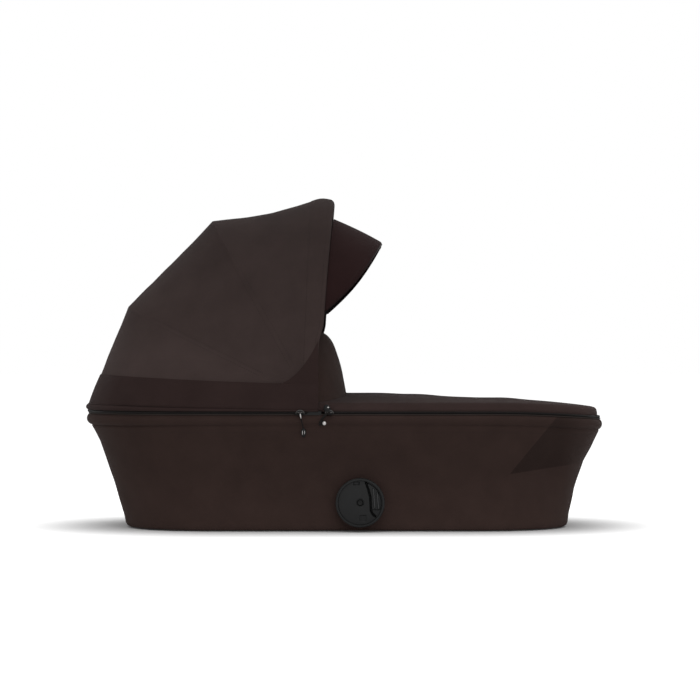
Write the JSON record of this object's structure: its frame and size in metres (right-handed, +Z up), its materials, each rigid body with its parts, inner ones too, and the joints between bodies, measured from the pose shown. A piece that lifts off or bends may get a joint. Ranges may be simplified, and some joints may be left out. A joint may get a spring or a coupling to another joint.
{
  "type": "pram carrycot",
  "caption": "Fabric carrycot with folding hood, sun visor, zip-on apron, wind flap and side adapter hubs, for carrying a lying baby on a pram frame.",
  "frame": {"origin": "on the floor, under the middle of the overall bounding box, which is also under the middle of the rim", "axes": "+X towards the foot end, +Y towards the left side of a baby that lies on its back with its head at -X, +Z up"},
  "size_m": [0.86, 0.436, 0.5469],
  "materials": {
    "tray_plastic": "fine-grained black polypropylene",
    "foot_rubber": "matt black rubber",
    "cover_fabric": "dark brown-black woven polyester, matt",
    "hood_fabric": "dark brown-black woven polyester, matt",
    "apron_fabric": "dark brown-black woven polyester over thin wadding, matt",
    "lining_fabric": "dark quilted cotton, matt",
    "mattress_fabric": "off-white cotton jersey over foam",
    "tube_aluminium": "plain drawn tube",
    "frame_steel": "zinc-plated steel",
    "zip_metal": "satin nickel-plated zinc",
    "zip_tape": "black nylon tape, coil and cord",
    "hub_plastic": "fine-grained black-grey nylon",
    "bow_plastic": "smooth black nylon"
  },
  "bodies": {
    "cot": {"base_tray": "tray_plastic", "foot_pad_1": "foot_rubber", "foot_pad_2": "foot_rubber", "foot_pad_3": "foot_rubber", "foot_pad_4": "foot_rubber", "shell_cover": "cover_fabric", "lining": "lining_fabric", "mattress": "mattress_fabric", "rim_tube_head": "tube_aluminium", "rim_tube_foot": "tube_aluminium", "end_frame_head": "frame_steel", "end_frame_foot": "frame_steel", "side_bracket_right": "tray_plastic", "side_bracket_left": "tray_plastic", "hub_housing_right": "hub_plastic", "hub_housing_left": "hub_plastic", "hub_plate_right": "hub_plastic", "hub_plate_left": "hub_plastic", "hub_screw_right": "frame_steel", "hub_screw_left": "frame_steel", "release_spring_right": "frame_steel", "release_spring_left": "frame_steel", "hinge_bracket_right": "bow_plastic", "hinge_bracket_left": "bow_plastic", "hood_pivot_right": "frame_steel", "hood_pivot_left": "frame_steel", "hood_band": "hood_fabric", "hood_gusset_right": "hood_fabric", "hood_gusset_left": "hood_fabric", "canopy_rear": "hood_fabric", "apron": "apron_fabric", "hood_zip_chain": "zip_tape", "apron_zip_chain": "zip_tape"},
    "rear_bow": {"rear_bow": "bow_plastic", "canopy_middle": "hood_fabric"},
    "middle_bow": {"middle_bow": "bow_plastic", "canopy_top": "hood_fabric"},
    "front_bow": {"front_bow": "bow_plastic", "front_hem": "hood_fabric", "visor_pin_right": "frame_steel", "visor_pin_left": "frame_steel"},
    "visor": {"visor_bow": "bow_plastic", "visor_fabric": "hood_fabric"},
    "wind_flap": {"wind_flap": "apron_fabric"},
    "hub_release_right": {"hub_release_right": "hub_plastic"},
    "hub_release_left": {"hub_release_left": "hub_plastic"},
    "hood_zip_right_slider": {"hood_zip_right_slider": "zip_metal"},
    "hood_zip_left_slider": {"hood_zip_left_slider": "zip_metal"},
    "apron_zip_right_slider": {"apron_zip_right_slider": "zip_metal"},
    "apron_zip_left_slider": {"apron_zip_left_slider": "zip_metal"},
    "hood_zip_right_pull": {"hood_zip_right_pull_cord": "zip_tape", "hood_zip_right_pull_end": "zip_metal"},
    "hood_zip_left_pull": {"hood_zip_left_pull_cord": "zip_tape", "hood_zip_left_pull_end": "zip_metal"},
    "apron_zip_right_pull": {"apron_zip_right_pull_cord": "zip_tape", "apron_zip_right_pull_end": "zip_metal"},
    "apron_zip_left_pull": {"apron_zip_left_pull_cord": "zip_tape", "apron_zip_left_pull_end": "zip_metal"}
  },
  "joints": [
    {"name": "hood_rear_fold", "type": "hinge", "parent": "cot", "child": "rear_bow", "pos_m": [-0.055, 0, 0.217], "axis": [0, -1, 0], "range_deg": [0, 23], "deforming": ["canopy_rear", "canopy_middle", "hood_gusset_right", "hood_gusset_left"]},
    {"name": "hood_middle_fold", "type": "hinge", "parent": "rear_bow", "child": "middle_bow", "pos_m": [-0.055, 0, 0.217], "axis": [0, -1, 0], "range_deg": [0, 21], "deforming": ["canopy_middle", "canopy_top", "hood_gusset_right", "hood_gusset_left"]},
    {"name": "hood_front_fold", "type": "hinge", "parent": "middle_bow", "child": "front_bow", "pos_m": [-0.055, 0, 0.217], "axis": [0, -1, 0], "range_deg": [0, 19.5], "deforming": ["canopy_top", "hood_gusset_right", "hood_gusset_left"]},
    {"name": "visor_flip", "type": "hinge", "parent": "front_bow", "child": "visor", "pos_m": [-0.04053, 0, 0.3535], "axis": [0, -1, 0], "range_deg": [0, 55], "deforming": ["visor_fabric"]},
    {"name": "wind_flap_fold", "type": "hinge", "parent": "cot", "child": "wind_flap", "pos_m": [0.004, 0, 0.2219], "axis": [0, 1, 0], "range_deg": [0, 100], "deforming": ["wind_flap"]},
    {"name": "hub_release_right_slide", "type": "slide", "parent": "cot", "child": "hub_release_right", "axis": [-1, 0, 0], "range_m": [0, 0.003], "stiffness_N_per_m": 700, "springref_m": -0.001, "deforming": ["release_spring_right"]},
    {"name": "hub_release_left_slide", "type": "slide", "parent": "cot", "child": "hub_release_left", "axis": [-1, 0, 0], "range_m": [0, 0.003], "stiffness_N_per_m": 700, "springref_m": -0.001, "deforming": ["release_spring_left"]},
    {"name": "hood_zip_right_run", "type": "slide", "parent": "cot", "child": "hood_zip_right_slider", "axis": [-1, 0, 0], "range_m": [0, 0.16]},
    {"name": "hood_zip_left_run", "type": "slide", "parent": "cot", "child": "hood_zip_left_slider", "axis": [-1, 0, 0], "range_m": [0, 0.16]},
    {"name": "apron_zip_right_run", "type": "slide", "parent": "cot", "child": "apron_zip_right_slider", "axis": [1, 0, 0], "range_m": [0, 0.255]},
    {"name": "apron_zip_left_run", "type": "slide", "parent": "cot", "child": "apron_zip_left_slider", "axis": [1, 0, 0], "range_m": [0, 0.255]},
    {"name": "hood_zip_right_pull_swing", "type": "hinge", "parent": "hood_zip_right_slider", "child": "hood_zip_right_pull", "pos_m": [-0.071, -0.2153, 0.1934], "axis": [-1, 0, 0], "range_deg": [0, 160]},
    {"name": "hood_zip_left_pull_swing", "type": "hinge", "parent": "hood_zip_left_slider", "child": "hood_zip_left_pull", "pos_m": [-0.071, 0.2153, 0.1934], "axis": [1, 0, 0], "range_deg": [0, 160]},
    {"name": "apron_zip_right_pull_swing", "type": "hinge", "parent": "apron_zip_right_slider", "child": "apron_zip_right_pull", "pos_m": [-0.024, -0.2153, 0.1934], "axis": [-1, 0, 0], "range_deg": [0, 160]},
    {"name": "apron_zip_left_pull_swing", "type": "hinge", "parent": "apron_zip_left_slider", "child": "apron_zip_left_pull", "pos_m": [-0.024, 0.2153, 0.1934], "axis": [1, 0, 0], "range_deg": [0, 160]}
  ],
  "couplings": [
    {"joint": "hood_middle_fold", "follows": "hood_rear_fold", "ratio": 0.913},
    {"joint": "hood_front_fold", "follows": "hood_rear_fold", "ratio": 0.8478}
  ]
}
